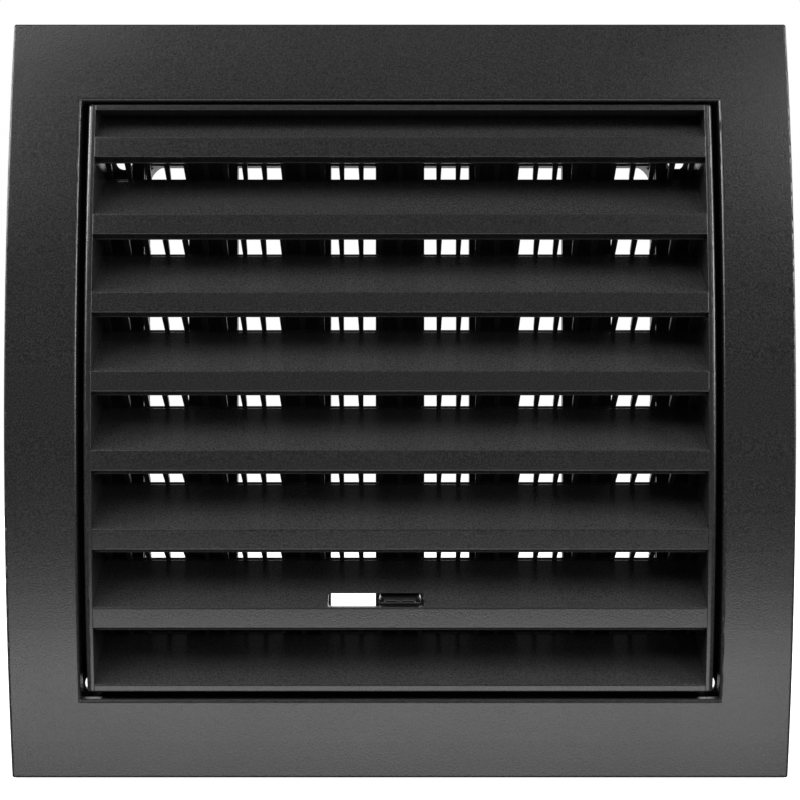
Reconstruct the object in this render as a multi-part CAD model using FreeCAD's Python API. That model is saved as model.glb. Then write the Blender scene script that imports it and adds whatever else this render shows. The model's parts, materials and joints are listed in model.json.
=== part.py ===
import FreeCAD, Part
import math
import os

# Closable louvred wall grille. Millimetres. X to the right, Z up, the room side faces -Y.
# The wall plane is Y = 0 and the origin is the middle of the wall face.

# Overall size and the bulged front face, a cylinder about a horizontal axis
WIDTH = 190.0
HEIGHT = 185.0
PROJECTION = 30.0
FACE_RADIUS = 400.0
SHELL = 2.2
FACE_CENTRE_Y = FACE_RADIUS - PROJECTION

# Front frame
OPENING_W = 155.2
OPENING_H = 145.5
RETURN_WALL = 1.6
RETURN_DEPTH = 4.2
OUTER_EDGE_R = 0.6
OPENING_EDGE_R = 0.8

# Wall plate, its six windows and the collar that enters the wall opening
PLATE_T = 2.5
PLATE_GAP = 0.1
PLATE_CORNER_R = 1.0
WINDOW_COUNT = 6
WINDOW_PITCH = 23.7
WINDOW_W = 11.4
WINDOW_BOTTOM = -57.2
WINDOW_TOP = 59.6
COLLAR_HALF_W = 64.8
COLLAR_BOTTOM = -58.6
COLLAR_TOP = 61.0
COLLAR_CORNER_R = 5.2
COLLAR_WALL = 1.8
COLLAR_DEPTH = 6.0
COLLAR_SEAT = 0.3
COLLAR_CHAMFER = 0.5

# Shallow pockets in the plate's back, which leave ribs between them
POCKET_DEPTH = 1.0
POCKET_EDGE = 3.0
POCKET_TO_COLLAR = 2.0
POCKET_RIB = 1.6
POCKET_COLUMNS = 8
POCKET_ROWS = 5

# Screw holes, countersunk so that the shutter passes over the screw heads
SCREW_R = 2.1
SINK_R = 3.5
SINK_DEPTH = 1.4
BOSS_WALL = 1.0
TOP_SCREW_X = 70.5
TOP_SCREW_Z = 61.2
LOW_SCREW_X = 78.2
LOW_SCREW_Z = -71.9

# Shutter: a slotted plate that slides over the wall plate by half a window pitch
SHUTTER_T = 1.6
SHUTTER_GAP = 0.3
SHUTTER_BOTTOM = -63.0
SHUTTER_TOP = 62.2
SHUTTER_LEFT = -67.8
SHUTTER_NOTCH_X = 67.6
SHUTTER_NOTCH_Z = 58.9
SHUTTER_CORNER_R = 1.0
SHUTTER_SLOT_R = 0.3
SHUTTER_TRAVEL = WINDOW_PITCH / 2
GUIDE_HALF_L = 57.0
GUIDE_GAP = 0.2
GUIDE_LIP_GAP = 0.25
GUIDE_WALL = 1.6
GUIDE_LIP_T = 1.1
GUIDE_LIP_REACH = 1.7

# Shutter tab and the finger slot that it comes through
TAB_W = 10.2
TAB_H = 1.8
TAB_Z = -48.6
TAB_FRONT_Y = -25.6
TAB_END_R = 0.75
TAB_NOSE_R = 0.5
GROOVE_R = 0.55
GROOVE_DEPTH = 0.2
GROOVE_HALF_L = 3.4
DIMPLE_R = 0.5
DIMPLE_DEPTH = 0.35
SLOT_PLAY = 0.5
SLOT_LEFT = -TAB_W / 2 - SHUTTER_TRAVEL - SLOT_PLAY
SLOT_RIGHT = TAB_W / 2 + SLOT_PLAY
SLOT_BOTTOM = -50.05
SLOT_TOP = -47.2
SLOT_R = 0.5
SLOT_CHAMFER = 0.25

# Louvre insert
INSERT_HALF_W = 76.0
INSERT_TOP = 71.9
INSERT_BOTTOM = -70.8
SIDE_RAIL_T = 1.9
TOP_RAIL_T = 1.35
INSERT_BACK_Y = -5.2
RAIL_EDGE_R = 0.4
RAIL_OUTER_R = 1.2
BLADE_COUNT = 7
BLADE_PITCH = 19.0
FIRST_BLADE_Z = 63.8
SILL_Z = -69.1
BLADE_SLOPE = math.tan(math.radians(30.0))
BLADE_DEPTH = 17.7
BLADE_T_VERTICAL = 2.08
LIP_H = 5.0
LIP_T = 1.6
LIP_TOP_R = 0.45
LIP_BOTTOM_R = 0.3

# Insect comb under each blade
COMB_PITCH = 4.84
COMB_BARS_EACH_SIDE = 15
COMB_RAIL_D = 4.0
COMB_RAIL_T = 1.2
COMB_RAIL_DROP = 0.75
COMB_STRIP_T = 1.0
COMB_BAR_T = 1.5
COMB_BAR_OVERLAP = 0.6
COMB_HEAD_GAP = 0.15
COMB_FOOT_W = 1.08
COMB_HEAD_W = 1.75
COMB_TAB_GAP = 0.4

# Pegs that hold the insert, their sockets on the wall plate, and the frame's clips
PEG_X = 62.0
PEG_Z_TOP = 66.6
PEG_Z_LOW = -67.2
PEG_R = 1.8
PEG_CHAMFER = 0.5
PEG_END_GAP = 0.4
SOCKET_BORE_R = 1.95
SOCKET_R = 3.3
SOCKET_H = 5.5
SOCKET_EDGE_R = 0.4
CLIP_W = 14.0
CLIP_T = 1.6
CLIP_H = 10.0
BARB_REACH = 0.6
BARB_CREST = 2.4
BARB_L = 3.0
BARB_ROOM = 0.15

# The tall bulged pieces have their faces divided at even heights
SEAM_COUNT = 20
SEAM_PITCH = HEIGHT / SEAM_COUNT

FAR = 100.0
HALF_W = WIDTH / 2
HALF_H = HEIGHT / 2
PLATE_HALF_W = HALF_W - SHELL - PLATE_GAP
PLATE_HALF_H = HALF_H - SHELL - PLATE_GAP
INNER_HALF_W = INSERT_HALF_W - SIDE_RAIL_T
PLATE_FRONT_Y = -PLATE_T
SHUTTER_BACK_Y = PLATE_FRONT_Y - SHUTTER_GAP
SHUTTER_FRONT_Y = SHUTTER_BACK_Y - SHUTTER_T


def vec(x, y, z):
    return FreeCAD.Vector(x, y, z)


def box(x0, x1, y0, y1, z0, z1):
    return Part.makeBox(x1 - x0, y1 - y0, z1 - z0, vec(x0, y0, z0))


def rod(x, z, r, y0, y1):
    """Round bar along Y."""
    return Part.makeCylinder(r, y1 - y0, vec(x, y0, z), vec(0, 1, 0))


def face_y(z, inset=0.0):
    """Y of the bulged front face at height z, or of the surface a wall thickness inside it."""
    return FACE_CENTRE_Y - math.sqrt((FACE_RADIUS - inset) ** 2 - z**2)


def prism(points, x0, x1):
    """Polygon given as (y, z) points, swept along X."""
    corners = [vec(x0, y, z) for y, z in points]
    face = Part.Face(Part.makePolygon(corners + corners[:1]))
    return face.extrude(vec(x1 - x0, 0, 0))


def bulged(x0, x1, z0, z1, back_y, inset=0.0):
    """Block with a flat back at back_y and the bulged surface, moved in by inset, as its front."""
    middle = (z0 + z1) / 2
    low = vec(x0, face_y(z0, inset), z0)
    high = vec(x0, face_y(z1, inset), z1)
    arc = Part.Arc(low, vec(x0, face_y(middle, inset), middle), high).toShape()
    back_low = vec(x0, back_y, z0)
    back_high = vec(x0, back_y, z1)
    sides = Part.makePolygon([high, back_high, back_low, low])
    wire = Part.Wire([arc] + sides.Edges)
    return Part.Face(wire).extrude(vec(x1 - x0, 0, 0))


def rounded_block(x0, x1, y0, y1, z0, z1, r):
    """Block whose four edges along Y are rounded."""
    block = box(x0, x1, y0, y1, z0, z1)
    along_y = [e for e in block.Edges if abs(e.tangentAt(e.FirstParameter).y) > 0.9]
    return block.makeFillet(r, along_y)


def on_face(edge):
    """Whether all of an edge lies on the bulged front face."""
    first, last = edge.ParameterRange
    points = [edge.valueAt(first + (last - first) * i / 4) for i in range(5)]
    return all(abs(p.y - face_y(p.z)) < 0.001 for p in points)


def at_y(shape, y):
    """Edges whose middle is at depth y."""
    return [e for e in shape.Edges if abs(e.CenterOfMass.y - y) < 0.01]


def long_front_edges(shape, z):
    """Edges that run across most of the insert on the front face, at height z."""
    edges = [e for e in shape.Edges if e.BoundBox.XLength > INSERT_HALF_W and on_face(e)]
    return [e for e in edges if abs(e.CenterOfMass.z - z) < 0.2]


def window_centres():
    first = -(WINDOW_COUNT - 1) / 2 * WINDOW_PITCH
    return [first + i * WINDOW_PITCH for i in range(WINDOW_COUNT)]


def blade_z(k):
    """Height of blade k's front top edge, from 1 at the top. The sill comes after the last."""
    if k > BLADE_COUNT:
        return SILL_Z
    return FIRST_BLADE_Z - BLADE_PITCH * (k - 1)


def with_seams(shape):
    """Divides a tall bulged shape's faces at even heights, so that its long rounded edges mesh evenly."""
    slices = []
    for i in range(SEAM_COUNT):
        z = i * SEAM_PITCH - HALF_H
        piece = shape.common(box(-FAR, FAR, -FAR, FAR, z, z + SEAM_PITCH))
        slices += piece.Solids
    return slices[0].fuse(slices[1:])


def save(name, shape):
    """Writes one node, and stops if one of its solids isn't valid."""
    solids = shape.Solids
    if not solids or not shape.isValid():
        raise ValueError(name + " is not a valid solid")
    out = solids[0] if len(solids) == 1 else Part.Compound(solids)
    out.exportStep("parts/" + name + ".step")
    print(name, len(solids), round(sum(s.Volume for s in solids), 1))


def clip_places():
    """Middle of each clip's outer face and the direction it faces: the sides, above and below."""
    return [
        (PLATE_HALF_W, 0, 1, 0),
        (-PLATE_HALF_W, 0, -1, 0),
        (0, PLATE_HALF_H, 0, 1),
        (0, -PLATE_HALF_H, 0, -1),
    ]


def clip_barb(grow):
    """Wedge at the top of a clip that faces up. With grow, the room that it takes in the frame."""
    half = CLIP_W / 2 + grow
    top = PLATE_FRONT_Y - CLIP_H
    wedge = [
        (top - grow, 0),
        (top + BARB_CREST + grow, BARB_REACH + grow),
        (top + BARB_L + grow, 0),
    ]
    return prism(wedge, -half, half)


def put_at_clip(shape, x, z, out_x, out_z):
    """Turns a shape made for a clip that faces up, and moves it to a clip's place."""
    shape.rotate(vec(0, 0, 0), vec(0, 1, 0), math.degrees(math.atan2(out_x, out_z)))
    shape.translate(vec(x, 0, z))
    return shape


def clip(place):
    """One clip tongue with its barb."""
    half = CLIP_W / 2
    tongue = box(-half, half, PLATE_FRONT_Y - CLIP_H, PLATE_FRONT_Y, -CLIP_T, 0)
    return put_at_clip(tongue.fuse(clip_barb(0)), *place)


def front_frame():
    """Hollow bulged frame with a short return wall round its opening."""
    outer = bulged(-HALF_W, HALF_W, -HALF_H, HALF_H, 0)
    rims = [e for e in outer.Edges if on_face(e)]
    sides = [e for e in outer.Edges if abs(e.tangentAt(e.FirstParameter).y) > 0.9]
    outer = outer.makeFillet(OUTER_EDGE_R, rims + sides)
    hollow = bulged(SHELL - HALF_W, HALF_W - SHELL, SHELL - HALF_H, HALF_H - SHELL, 1, SHELL)
    ow = OPENING_W / 2
    oh = OPENING_H / 2
    keep = box(-ow - RETURN_WALL, ow + RETURN_WALL, -FAR, 0, -oh - RETURN_WALL, oh + RETURN_WALL)
    core = bulged(-HALF_W, HALF_W, -HALF_H, HALF_H, 1, RETURN_DEPTH)
    shell = outer.cut(hollow.cut(keep)).cut(core.common(hollow))
    shell = shell.cut(box(-ow, ow, -FAR, 1, -oh, oh))
    front = [e for e in shell.Edges if on_face(e)]
    rim = [e for e in front if abs(e.CenterOfMass.x) < ow + 0.1 and abs(e.CenterOfMass.z) < oh + 0.1]
    shell = shell.makeFillet(OPENING_EDGE_R, rim)
    for place in clip_places():
        shell = shell.cut(put_at_clip(clip_barb(BARB_ROOM), *place))
    return with_seams(shell)


def frame_clips():
    """Four tongues that rise from the wall plate and catch in the frame's side walls."""
    return Part.Compound([clip(place) for place in clip_places()])


def screw_hole(x, z):
    """Clearance hole with its countersink."""
    hole = rod(x, z, SCREW_R, -PLATE_T - 1, 1)
    sink = Part.makeCone(SINK_R, SCREW_R, SINK_DEPTH, vec(x, PLATE_FRONT_Y, z), vec(0, 1, 0))
    return hole.fuse(sink)


def screw_places():
    top = [(side * TOP_SCREW_X, TOP_SCREW_Z) for side in (-1, 1)]
    low = [(side * LOW_SCREW_X, LOW_SCREW_Z) for side in (-1, 1)]
    return top + low


def collar_block(grow, y0, y1):
    return rounded_block(
        -COLLAR_HALF_W - grow,
        COLLAR_HALF_W + grow,
        y0,
        y1,
        COLLAR_BOTTOM - grow,
        COLLAR_TOP + grow,
        COLLAR_CORNER_R + grow,
    )


def relief_pockets():
    """The pockets round the collar: columns above and below it, and rows beside it."""
    outer_x = HALF_W - SHELL - POCKET_EDGE
    outer_z = HALF_H - SHELL - POCKET_EDGE
    inner_x = COLLAR_HALF_W + COLLAR_WALL + POCKET_TO_COLLAR
    inner_top = COLLAR_TOP + COLLAR_WALL + POCKET_TO_COLLAR
    inner_low = COLLAR_BOTTOM - COLLAR_WALL - POCKET_TO_COLLAR
    pockets = []
    wide = (2 * outer_x - POCKET_RIB * (POCKET_COLUMNS - 1)) / POCKET_COLUMNS
    for i in range(POCKET_COLUMNS):
        x0 = -outer_x + i * (wide + POCKET_RIB)
        pockets.append(box(x0, x0 + wide, -POCKET_DEPTH, 1, inner_top, outer_z))
        pockets.append(box(x0, x0 + wide, -POCKET_DEPTH, 1, -outer_z, inner_low))
    tall = (inner_top - inner_low - POCKET_RIB * (POCKET_ROWS + 1)) / POCKET_ROWS
    for i in range(POCKET_ROWS):
        z0 = inner_low + POCKET_RIB + i * (tall + POCKET_RIB)
        pockets.append(box(inner_x, outer_x, -POCKET_DEPTH, 1, z0, z0 + tall))
        pockets.append(box(-outer_x, -inner_x, -POCKET_DEPTH, 1, z0, z0 + tall))
    return pockets


def plate_blank():
    return rounded_block(
        -PLATE_HALF_W, PLATE_HALF_W, PLATE_FRONT_Y, 0, -PLATE_HALF_H, PLATE_HALF_H, PLATE_CORNER_R
    )


def base_plate():
    """Wall plate with windows, screw holes, ribs on its back and a seat for the collar."""
    plate = plate_blank()
    for pocket in relief_pockets():
        plate = plate.cut(pocket)
    for x, z in screw_places():
        boss = rod(x, z, SINK_R + BOSS_WALL, PLATE_FRONT_Y, 0)
        plate = plate.fuse(boss.common(plate_blank()))
    plate = plate.cut(collar_block(COLLAR_WALL, -COLLAR_SEAT, 1))
    for centre in window_centres():
        left = max(centre - WINDOW_W / 2, -COLLAR_HALF_W)
        right = min(centre + WINDOW_W / 2, COLLAR_HALF_W)
        plate = plate.cut(box(left, right, PLATE_FRONT_Y - 1, 1, WINDOW_BOTTOM, WINDOW_TOP))
    for x, z in screw_places():
        plate = plate.cut(screw_hole(x, z))
    return plate.removeSplitter()


def rear_collar():
    """Short rounded collar behind the plate, which goes into the wall opening."""
    ring = collar_block(COLLAR_WALL, -COLLAR_SEAT, COLLAR_DEPTH)
    ring = ring.makeChamfer(COLLAR_CHAMFER, at_y(ring, COLLAR_DEPTH))
    return ring.cut(collar_block(0, -1, COLLAR_DEPTH + 1))


def shutter_guide(edge_z, outward):
    """L-shaped rail that holds one long edge of the shutter. outward is 1 above it and -1 below."""
    wall_in = edge_z + outward * GUIDE_GAP
    wall_out = wall_in + outward * GUIDE_WALL
    lip_in = edge_z - outward * GUIDE_LIP_REACH
    lip_back = SHUTTER_FRONT_Y - GUIDE_LIP_GAP
    lip_front = lip_back - GUIDE_LIP_T
    section = [
        (PLATE_FRONT_Y, wall_in),
        (lip_back, wall_in),
        (lip_back, lip_in),
        (lip_front, lip_in),
        (lip_front, wall_out),
        (PLATE_FRONT_Y, wall_out),
    ]
    return prism(section, -GUIDE_HALF_L, GUIDE_HALF_L)


def peg_places():
    return [(side * PEG_X, z) for side in (-1, 1) for z in (PEG_Z_TOP, PEG_Z_LOW)]


def peg_sockets():
    """Four bored bosses on the wall plate."""
    sockets = []
    mouth_y = PLATE_FRONT_Y - SOCKET_H
    for x, z in peg_places():
        boss = rod(x, z, SOCKET_R, mouth_y, PLATE_FRONT_Y)
        boss = boss.makeFillet(SOCKET_EDGE_R, at_y(boss, mouth_y))
        sockets.append(boss.cut(rod(x, z, SOCKET_BORE_R, mouth_y - 1, PLATE_FRONT_Y + 1)))
    return Part.Compound(sockets)


def shutter_slider():
    """Slotted plate whose bars cover the windows after half a pitch of travel to the left."""
    front = SHUTTER_FRONT_Y
    back = SHUTTER_BACK_Y
    right = (WINDOW_PITCH * WINDOW_COUNT + WINDOW_PITCH - WINDOW_W) / 2
    plate = rounded_block(
        SHUTTER_LEFT, right, front, back, SHUTTER_BOTTOM, SHUTTER_TOP, SHUTTER_CORNER_R
    )
    plate = plate.cut(
        box(SHUTTER_NOTCH_X, right + 1, front - 1, back + 1, SHUTTER_NOTCH_Z, SHUTTER_TOP + 1)
    )
    for centre in window_centres():
        left = centre - WINDOW_W / 2
        slot = rounded_block(
            left, left + WINDOW_W, front - 1, back + 1, WINDOW_BOTTOM, WINDOW_TOP, SHUTTER_SLOT_R
        )
        plate = plate.cut(slot)
    return plate


def shutter_tab():
    """Straight tongue from the shutter to the finger slot, with a groove and a dimple in its nose."""
    low = TAB_Z - TAB_H / 2
    high = TAB_Z + TAB_H / 2
    tab = rounded_block(-TAB_W / 2, TAB_W / 2, TAB_FRONT_Y, SHUTTER_FRONT_Y, low, high, TAB_END_R)
    tab = tab.makeFillet(TAB_NOSE_R, at_y(tab, TAB_FRONT_Y))
    groove_y = TAB_FRONT_Y + GROOVE_DEPTH - GROOVE_R
    start = vec(-GROOVE_HALF_L, groove_y, TAB_Z)
    tab = tab.cut(Part.makeCylinder(GROOVE_R, 2 * GROOVE_HALF_L, start, vec(1, 0, 0)))
    for side in (-1, 1):
        tab = tab.cut(Part.makeSphere(GROOVE_R, vec(side * GROOVE_HALF_L, groove_y, TAB_Z)))
    return tab.cut(Part.makeSphere(DIMPLE_R, vec(0, TAB_FRONT_Y + DIMPLE_DEPTH - DIMPLE_R, TAB_Z)))


def blade_section(k, lip_h):
    """Blade or sill k: a front lip on the bulged face and a plate that rises behind it."""
    z = blade_z(k)
    y = face_y(z)
    back = y + BLADE_DEPTH
    rise = BLADE_DEPTH * BLADE_SLOPE
    ahead = PROJECTION + y
    plate = [
        (y, z),
        (back, z + rise),
        (back, z + rise - BLADE_T_VERTICAL),
        (y, z - BLADE_T_VERTICAL),
    ]
    above = [
        (-PROJECTION, z - ahead * BLADE_SLOPE),
        (back, z + rise),
        (back, FAR),
        (-PROJECTION, FAR),
    ]
    blade = prism(plate, -INNER_HALF_W, INNER_HALF_W)
    blade = blade.fuse(box(-INNER_HALF_W, INNER_HALF_W, -PROJECTION, y + LIP_T, z - lip_h, z + rise))
    blade = blade.common(bulged(-HALF_W, HALF_W, z - lip_h, z + rise, 0))
    return blade.cut(prism(above, -HALF_W, HALF_W)).removeSplitter()


def soften_lip(blade, z, lip_h):
    """Rounds the two long front edges of a blade's lip."""
    blade = blade.makeFillet(LIP_TOP_R, long_front_edges(blade, z))
    return blade.makeFillet(LIP_BOTTOM_R, long_front_edges(blade, z - lip_h))


def finger_slot(grow=0.0):
    """Straight cut from the front for the tab and its travel, or a wider one with grow."""
    return rounded_block(
        SLOT_LEFT - grow, SLOT_RIGHT + grow, -FAR, 0, SLOT_BOTTOM - grow, SLOT_TOP + grow, SLOT_R
    )


def slot_mouth(blade):
    """Edges where the finger slot comes out through the sloping top of the last blade."""
    z = blade_z(BLADE_COUNT)
    y = face_y(z)
    mouth = []
    for e in blade.Edges:
        middle = e.valueAt((e.FirstParameter + e.LastParameter) / 2)
        on_slope = abs(middle.z - z - (middle.y - y) * BLADE_SLOPE) < 0.01
        inside = SLOT_LEFT - 0.01 < middle.x < SLOT_RIGHT + 0.01
        if on_slope and inside and e.BoundBox.XLength < 2 * (SLOT_RIGHT - SLOT_LEFT):
            mouth.append(e)
    return mouth


def louvre_blade(k):
    blade = soften_lip(blade_section(k, LIP_H), blade_z(k), LIP_H)
    if k == 1:
        blade = blade.cut(box(-FAR, FAR, -FAR, 0, INSERT_TOP - TOP_RAIL_T, FAR))
    if k == BLADE_COUNT:
        blade = blade.cut(finger_slot())
        blade = blade.makeChamfer(SLOT_CHAMFER, slot_mouth(blade))
    return blade


def louvre_sill():
    """Sloping bottom of the insert, whose low front lip is the insert's bottom edge."""
    lip_h = SILL_Z - INSERT_BOTTOM
    return soften_lip(blade_section(BLADE_COUNT + 1, lip_h), SILL_Z, lip_h)


def side_rail(side):
    """Upright of the insert. side is -1 on the left and 1 on the right."""
    x0 = min(side * INNER_HALF_W, side * INSERT_HALF_W)
    rail = bulged(x0, x0 + SIDE_RAIL_T, INSERT_BOTTOM, INSERT_TOP, INSERT_BACK_Y)
    front = [e for e in rail.Edges if on_face(e)]
    outer = [e for e in front if abs(e.CenterOfMass.x - side * INSERT_HALF_W) < 0.01]
    rail = rail.makeFillet(RAIL_OUTER_R, outer)
    return with_seams(rail.makeFillet(RAIL_EDGE_R, front_end_edges(rail)))


def front_end_edges(rail):
    """Edges of a side rail's top and bottom ends that run along its rounded front."""
    edges = []
    for z in (INSERT_BOTTOM, INSERT_TOP):
        at_end = [e for e in rail.Edges if abs(e.CenterOfMass.z - z) < 0.001]
        edges += [e for e in at_end if e.BoundBox.YMax < face_y(z) + RAIL_OUTER_R + 0.01]
    return edges


def top_rail():
    z0 = INSERT_TOP - TOP_RAIL_T
    rail = bulged(-INNER_HALF_W, INNER_HALF_W, z0, INSERT_TOP, INSERT_BACK_Y)
    return rail.makeFillet(RAIL_EDGE_R, long_front_edges(rail, INSERT_TOP))


def comb_bar(x, foot_y, foot_z, head_y, head_z):
    """One tapered bar, from its foot on the lower blade up to its head behind the upper lip."""
    foot = COMB_FOOT_W / 2
    head = COMB_HEAD_W / 2
    outline = [
        vec(x - foot, foot_y, foot_z),
        vec(x + foot, foot_y, foot_z),
        vec(x + head, head_y, head_z),
        vec(x - head, head_y, head_z),
        vec(x - foot, foot_y, foot_z),
    ]
    return Part.Face(Part.makePolygon(outline)).extrude(vec(0, 0, COMB_BAR_T))


def comb_rail(k):
    """Upright strip behind the lip of blade k, which ties the heads of the bars."""
    front = face_y(blade_z(k)) + COMB_RAIL_D
    back = front + COMB_RAIL_T
    low = blade_z(k) - LIP_H - COMB_RAIL_DROP
    under = blade_z(k) - BLADE_T_VERTICAL
    section = [
        (front, low),
        (back, low),
        (back, under + (COMB_RAIL_D + COMB_RAIL_T) * BLADE_SLOPE),
        (front, under + COMB_RAIL_D * BLADE_SLOPE),
    ]
    return prism(section, -INNER_HALF_W, INNER_HALF_W)


def comb_strip(k):
    """Strip that carries the feet of the bars, as the last bit of the plate below blade k."""
    front = face_y(blade_z(k + 1)) + BLADE_DEPTH
    back = front + COMB_STRIP_T
    front_z = blade_z(k + 1) + BLADE_DEPTH * BLADE_SLOPE
    back_z = front_z + COMB_STRIP_T * BLADE_SLOPE
    section = [
        (front, front_z),
        (back, back_z),
        (back, back_z - BLADE_T_VERTICAL),
        (front, front_z - BLADE_T_VERTICAL),
    ]
    return prism(section, -INNER_HALF_W, INNER_HALF_W)


def insect_comb(k):
    """Comb between blade k and the blade or sill below it."""
    foot_y = face_y(blade_z(k + 1)) + BLADE_DEPTH + COMB_STRIP_T
    foot_z = blade_z(k + 1) + (BLADE_DEPTH + COMB_STRIP_T) * BLADE_SLOPE - COMB_BAR_OVERLAP
    head_in = COMB_RAIL_D + COMB_RAIL_T / 2
    head_y = face_y(blade_z(k)) + head_in
    under = blade_z(k) - BLADE_T_VERTICAL + head_in * BLADE_SLOPE
    head_z = under - COMB_BAR_T - COMB_HEAD_GAP
    bars = []
    for i in range(-COMB_BARS_EACH_SIDE, COMB_BARS_EACH_SIDE + 1):
        bars.append(comb_bar(i * COMB_PITCH, foot_y, foot_z, head_y, head_z))
    comb = comb_rail(k).fuse(bars + [comb_strip(k)])
    if k == BLADE_COUNT:
        comb = comb.cut(finger_slot(COMB_TAB_GAP))
    return comb.removeSplitter()


def insert_pegs(top_blade, sill):
    """Round pegs behind the first blade and the sill, which push into the sockets."""
    pegs = []
    end = PLATE_FRONT_Y - PEG_END_GAP
    for x, z in peg_places():
        holder = top_blade if z > 0 else sill
        peg = rod(x, z, PEG_R, holder.BoundBox.YMin, end)
        peg = peg.makeChamfer(PEG_CHAMFER, at_y(peg, end)).cut(holder)
        pegs.append(max(peg.Solids, key=lambda s: s.CenterOfMass.y))
    return Part.Compound(pegs)


def main():
    os.makedirs("parts", exist_ok=True)
    save("front_frame", front_frame())
    save("frame_clips", frame_clips())
    save("base_plate", base_plate())
    save("rear_collar", rear_collar())
    save("shutter_guide_top", shutter_guide(SHUTTER_TOP, 1))
    save("shutter_guide_bottom", shutter_guide(SHUTTER_BOTTOM, -1))
    save("peg_sockets", peg_sockets())
    save("shutter_slider", shutter_slider())
    save("shutter_tab", shutter_tab())
    save("insert_rail_left", side_rail(-1))
    save("insert_rail_right", side_rail(1))
    save("insert_rail_top", top_rail())
    blades = [louvre_blade(k) for k in range(1, BLADE_COUNT + 1)]
    for k, blade in enumerate(blades, 1):
        save("louvre_blade_%d" % k, blade)
    sill = louvre_sill()
    save("louvre_sill", sill)
    for k in range(1, BLADE_COUNT + 1):
        save("insect_comb_%d" % k, insect_comb(k))
    save("insert_pegs", insert_pegs(blades[0], sill))


main()
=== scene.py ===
import json
import math

import bpy
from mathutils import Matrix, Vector


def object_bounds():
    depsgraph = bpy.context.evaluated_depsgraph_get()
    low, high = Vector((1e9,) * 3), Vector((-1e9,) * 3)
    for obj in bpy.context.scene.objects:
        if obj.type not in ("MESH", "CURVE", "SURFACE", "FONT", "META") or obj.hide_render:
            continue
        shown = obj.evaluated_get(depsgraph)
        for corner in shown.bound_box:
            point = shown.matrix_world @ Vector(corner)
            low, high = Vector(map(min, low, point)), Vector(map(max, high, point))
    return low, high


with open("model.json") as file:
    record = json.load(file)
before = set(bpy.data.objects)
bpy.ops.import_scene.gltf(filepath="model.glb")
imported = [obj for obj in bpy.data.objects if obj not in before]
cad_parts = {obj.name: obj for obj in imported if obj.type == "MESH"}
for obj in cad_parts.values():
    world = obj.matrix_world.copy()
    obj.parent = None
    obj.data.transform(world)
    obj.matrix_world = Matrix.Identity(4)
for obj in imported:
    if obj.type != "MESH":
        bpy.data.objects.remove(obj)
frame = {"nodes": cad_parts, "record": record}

CAD_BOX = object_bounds()
NODES = frame["nodes"]

# Camera: a product shot from a little below the grille's middle, aimed at the front's centre.
# FRONT_EDGE_Y is where the bulged front meets the frame's top and bottom. Lengths are in metres.
FRONT_EDGE_Y = -0.01916
CAMERA_DISTANCE = 0.450
CAMERA_Z = -0.0057
CAMERA_LENS_MM = 82.5
SENSOR_WIDTH_MM = 36
CLIP_START = 0.01
CLIP_END = 50

# White light table that the grille stands on
FLOOR_HALF_SIZE = 6.0
FLOOR_GAP = 0.0002
FLOOR_GREY = 0.8
FLOOR_ROUGHNESS = 0.9
FLOOR_GLOW = 1.0

# The white surround as the camera sees it, and as it lights the object
SURROUND_SEEN = 1.0
SURROUND_FILL = 0.06

# Softboxes: name, azimuth and elevation in degrees from the front, width, height, distance, radiance.
# The side ones draw bright lines along the rounded edges of the rails and of the frame's opening.
# The low ones shine up through the table onto the parts of the front that face down.
# The radiances began as least-squares fits to the tones wanted, and were then rounded and changed.
SOFTBOXES = [
    ("left_side_high", -75, 26, 0.35, 0.14, 1.0, 22.0),
    ("left_side", -75, 18, 0.35, 0.14, 1.0, 16.0),
    ("left_side_low", -75, 10, 0.35, 0.14, 1.0, 6.0),
    ("left_key", -45, 27, 0.50, 0.12, 1.0, 10.0),
    ("left_high", -30, 46, 0.25, 0.30, 1.0, 4.0),
    ("left_inner", -30, 28, 0.25, 0.30, 1.0, 1.5),
    ("right_side_high", 75, 26, 0.35, 0.14, 1.0, 12.0),
    ("right_side", 75, 18, 0.35, 0.14, 1.0, 9.0),
    ("right_side_low", 75, 10, 0.35, 0.14, 1.0, 15.0),
    ("right_side_level", 75, 3, 0.35, 0.14, 1.0, 8.0),
    ("right_high", 40, 46, 0.25, 0.30, 1.0, 3.4),
    ("right_low", 45, 6, 0.50, 0.12, 1.0, 4.0),
    ("middle_high", 0, 46, 0.25, 0.30, 1.0, 0.4),
    ("right_inner", 30, 28, 0.25, 0.30, 1.0, 4.2),
    ("low_near", 0, -22, 0.90, 0.16, 1.0, 0.8),
    ("low_panel", 0, -30, 0.90, 0.16, 1.0, 3.8),
    ("lower_panel", 0, -40, 0.90, 0.16, 1.0, 2.5),
    ("back_panel", 180, 12, 1.20, 1.20, 1.2, 1.0),
    ("back_left", -125, 30, 0.60, 0.60, 1.2, 2.5),
    ("back_right", 125, 30, 0.60, 0.60, 1.2, 2.5),
]

# Moulded grain: its noise in cells per metre, its depth, and the share by which it varies the roughness
GRAIN_SCALE = 2800
GRAIN_DETAIL = 2
GRAIN_ROUGHNESS = 0.6
GRAIN_DEPTH = 0.00004
GLOSS_GRAIN = 0.25

# Noise values between which the grain's colour and gloss, and the cloud's gloss, change
SPECKLE_FROM, SPECKLE_TO = 0.40, 0.60
GLOSS_FROM, GLOSS_TO = 0.35, 0.65
CLOUD_FROM, CLOUD_TO = 0.3, 0.7

# Broad, cloudy variation of the roughness over a part
CLOUD_SCALE = 45
CLOUD_DETAIL = 3
CLOUD_ROUGHNESS = 0.5
CLOUD_GLOSS = 0.02

# Sharp edges are shaded as if they were rounded by this much
EDGE_RADIUS = 0.0003
EDGE_SAMPLES = 6
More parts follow.
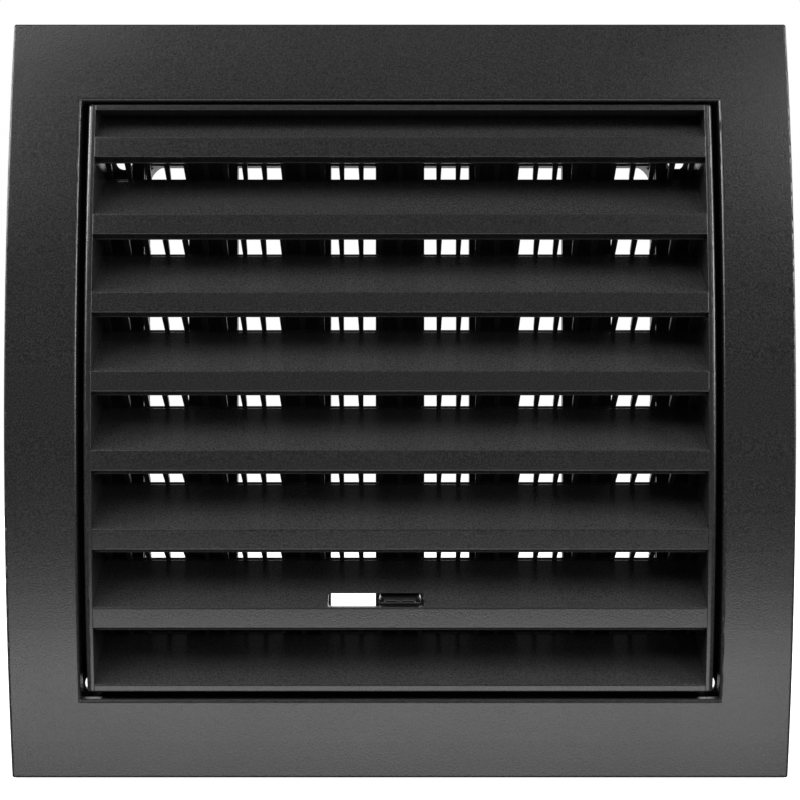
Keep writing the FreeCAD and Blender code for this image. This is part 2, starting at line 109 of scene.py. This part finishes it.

# Painted light: surfaces that face up get a lighter colour, because these lights alone leave the blades'
# slopes too dark.
# The gain rises from 1 to UPWARD_GAIN between these two values of the normal's Z.
UPWARD_FROM = 0.45
UPWARD_TO = 0.85
UPWARD_GAIN = 2.0

# The plastics: grey, roughness, specular level, speckle of the grey as a share, and strength of the grain
ANTHRACITE = {"grey": 0.022, "roughness": 0.20, "specular": 0.5, "speckle": 0.35, "bump": 1.0}
COMB_DARK = {"grey": 0.008, "roughness": 0.35, "specular": 0.35, "speckle": 0.3, "bump": 0.2}
BASE_DARK = {"grey": 0.024, "roughness": 0.35, "specular": 0.35, "speckle": 0.3, "bump": 0.2}
SHUTTER_DARK = {"grey": 0.012, "roughness": 0.35, "specular": 0.35, "speckle": 0.2, "bump": 0.15}
TAB_GLOSS = {"grey": 0.006, "roughness": 0.10, "specular": 0.5, "speckle": 0.1, "bump": 0.0}


def new_material(name):
    mat = bpy.data.materials.new(name)
    mat.use_nodes = True
    tree = mat.node_tree
    tree.nodes.clear()
    out = tree.nodes.new("ShaderNodeOutputMaterial")
    shader = tree.nodes.new("ShaderNodeBsdfPrincipled")
    tree.links.new(shader.outputs["BSDF"], out.inputs["Surface"])
    return mat, shader


def noise(tree, coords, scale, detail, roughness):
    node = tree.nodes.new("ShaderNodeTexNoise")
    node.inputs["Scale"].default_value = scale
    node.inputs["Detail"].default_value = detail
    node.inputs["Roughness"].default_value = roughness
    tree.links.new(coords.outputs["Object"], node.inputs["Vector"])
    return node.outputs["Fac"]


def spread(tree, value, low, high, to_low, to_high):
    """Maps a value from low..high to to_low..to_high, and holds it there outside."""
    node = tree.nodes.new("ShaderNodeMapRange")
    node.inputs["From Min"].default_value = low
    node.inputs["From Max"].default_value = high
    node.inputs["To Min"].default_value = to_low
    node.inputs["To Max"].default_value = to_high
    tree.links.new(value, node.inputs["Value"])
    return node.outputs["Result"]


def speckled(tree, grain, grey, speckle):
    """The grey, darker and lighter with the grain."""
    ramp = tree.nodes.new("ShaderNodeValToRGB")
    dark, light = ramp.color_ramp.elements
    dark.position = SPECKLE_FROM
    dark.color = [grey * (1 - speckle)] * 3 + [1]
    light.position = SPECKLE_TO
    light.color = [grey * (1 + speckle)] * 3 + [1]
    tree.links.new(grain, ramp.inputs["Fac"])
    return ramp.outputs["Color"]


def painted_top_light(tree, coords, colour):
    """The colour, lighter where the surface faces up: painted light."""
    split = tree.nodes.new("ShaderNodeSeparateXYZ")
    tree.links.new(coords.outputs["Normal"], split.inputs["Vector"])
    gain = spread(tree, split.outputs["Z"], UPWARD_FROM, UPWARD_TO, 1, UPWARD_GAIN)
    scale = tree.nodes.new("ShaderNodeVectorMath")
    scale.operation = "SCALE"
    tree.links.new(colour, scale.inputs["Vector"])
    tree.links.new(gain, scale.inputs["Scale"])
    return scale.outputs["Vector"]


def varied_roughness(tree, grain, cloud, roughness):
    """The roughness, varied finely by the grain and broadly by the cloud."""
    low = roughness * (1 - GLOSS_GRAIN)
    high = roughness * (1 + GLOSS_GRAIN)
    both = tree.nodes.new("ShaderNodeMath")
    both.operation = "ADD"
    broad = spread(tree, cloud, CLOUD_FROM, CLOUD_TO, -CLOUD_GLOSS, CLOUD_GLOSS)
    tree.links.new(broad, both.inputs[0])
    fine = spread(tree, grain, GLOSS_FROM, GLOSS_TO, low, high)
    tree.links.new(fine, both.inputs[1])
    return both.outputs["Value"]


def grain_relief(tree, grain, bump):
    """The normal of softened edges with the grain on them."""
    edges = tree.nodes.new("ShaderNodeBevel")
    edges.samples = EDGE_SAMPLES
    edges.inputs["Radius"].default_value = EDGE_RADIUS
    relief = tree.nodes.new("ShaderNodeBump")
    relief.inputs["Strength"].default_value = bump
    relief.inputs["Distance"].default_value = GRAIN_DEPTH
    tree.links.new(grain, relief.inputs["Height"])
    tree.links.new(edges.outputs["Normal"], relief.inputs["Normal"])
    return relief.outputs["Normal"]


def plastic(name, grey, roughness, specular, speckle, bump):
    """Moulded plastic: fine grain, speckle in its colour and gloss, faint cloudy variation, and painted
    light on faces that look up.
    """
    mat, shader = new_material(name)
    tree = mat.node_tree
    coords = tree.nodes.new("ShaderNodeTexCoord")
    grain = noise(tree, coords, GRAIN_SCALE, GRAIN_DETAIL, GRAIN_ROUGHNESS)
    cloud = noise(tree, coords, CLOUD_SCALE, CLOUD_DETAIL, CLOUD_ROUGHNESS)
    # Painted light: the speckled grey is made lighter on faces that look up.
    colour = painted_top_light(tree, coords, speckled(tree, grain, grey, speckle))
    tree.links.new(colour, shader.inputs["Base Color"])
    tree.links.new(varied_roughness(tree, grain, cloud, roughness), shader.inputs["Roughness"])
    shader.inputs["Specular IOR Level"].default_value = specular
    tree.links.new(grain_relief(tree, grain, bump), shader.inputs["Normal"])
    return mat


def paint(node, mat):
    for slot in NODES[node].material_slots:
        slot.link = "OBJECT"
        slot.material = mat


def dress_cad():
    looks = {
        "frame_plastic": plastic("frame_anthracite", **ANTHRACITE),
        "insert_plastic": plastic("insert_anthracite", **ANTHRACITE),
        "comb_plastic": plastic("comb_dark", **COMB_DARK),
        "base_plastic": plastic("base_dark", **BASE_DARK),
        "shutter_plastic": plastic("shutter_dark", **SHUTTER_DARK),
        "tab_gloss": plastic("tab_gloss", **TAB_GLOSS),
    }
    for part in frame["record"]["subparts"]:
        paint(part["node"], looks[part["material_slot"]])


def softbox(name, azimuth, elevation, width, height, distance, radiance):
    """Rectangular light aimed at the middle of the object, as bright as it looks: radiance."""
    data = bpy.data.lights.new(name, "AREA")
    data.shape = "RECTANGLE"
    data.size = width
    data.size_y = height
    data.energy = radiance * math.pi * width * height
    lamp = bpy.data.objects.new(name, data)
    bpy.context.scene.collection.objects.link(lamp)
    around = math.radians(azimuth)
    up = math.radians(elevation)
    towards = Vector((math.cos(up) * math.sin(around), -math.cos(up) * math.cos(around), math.sin(up)))
    lamp.location = towards * distance
    lamp.rotation_mode = "QUATERNION"
    lamp.rotation_quaternion = (-towards).to_track_quat("-Z", "Y")
    lamp.visible_camera = False


def background(nodes, strength):
    node = nodes.new("ShaderNodeBackground")
    node.inputs["Color"].default_value = (1, 1, 1, 1)
    node.inputs["Strength"].default_value = strength
    return node.outputs["Background"]


def make_world():
    """White studio surround. It is seen and gives a faint fill, and the softboxes do the lighting."""
    world = bpy.data.worlds.new("white_studio")
    bpy.context.scene.world = world
    world.use_nodes = True
    nodes = world.node_tree.nodes
    links = world.node_tree.links
    nodes.clear()
    out = nodes.new("ShaderNodeOutputWorld")
    path = nodes.new("ShaderNodeLightPath")
    mix = nodes.new("ShaderNodeMixShader")
    links.new(path.outputs["Is Camera Ray"], mix.inputs["Fac"])
    links.new(background(nodes, SURROUND_FILL), mix.inputs[1])
    links.new(background(nodes, SURROUND_SEEN), mix.inputs[2])
    links.new(mix.outputs["Shader"], out.inputs["Surface"])


def make_camera():
    data = bpy.data.cameras.new("camera")
    data.lens = CAMERA_LENS_MM
    data.sensor_width = SENSOR_WIDTH_MM
    data.clip_start = CLIP_START
    data.clip_end = CLIP_END
    cam = bpy.data.objects.new("camera", data)
    bpy.context.scene.collection.objects.link(cam)
    cam.location = (0, FRONT_EDGE_Y - CAMERA_DISTANCE, CAMERA_Z)
    cam.rotation_mode = "QUATERNION"
    aim = Vector((0, FRONT_EDGE_Y, 0)) - Vector(cam.location)
    cam.rotation_quaternion = aim.to_track_quat("-Z", "Y")
    bpy.context.scene.camera = cam


def make_floor():
    """Glowing white table top. It is seen, but lights nothing, and the low panels shine through it."""
    mesh = bpy.data.meshes.new("floor")
    z = CAD_BOX[0][2] - FLOOR_GAP
    s = FLOOR_HALF_SIZE
    mesh.from_pydata([(-s, -s, z), (s, -s, z), (s, s, z), (-s, s, z)], [], [(0, 1, 2, 3)])
    floor = bpy.data.objects.new("floor", mesh)
    bpy.context.scene.collection.objects.link(floor)
    mat, shader = new_material("pale_floor")
    shader.inputs["Base Color"].default_value = (FLOOR_GREY, FLOOR_GREY, FLOOR_GREY, 1)
    shader.inputs["Roughness"].default_value = FLOOR_ROUGHNESS
    shader.inputs["Emission Color"].default_value = (1, 1, 1, 1)
    shader.inputs["Emission Strength"].default_value = FLOOR_GLOW
    mesh.materials.append(mat)
    floor.visible_diffuse = False
    floor.visible_glossy = False
    floor.visible_shadow = False


bpy.context.scene.view_settings.view_transform = "Standard"
make_world()
make_camera()
make_floor()
for box in SOFTBOXES:
    softbox(*box)
dress_cad()
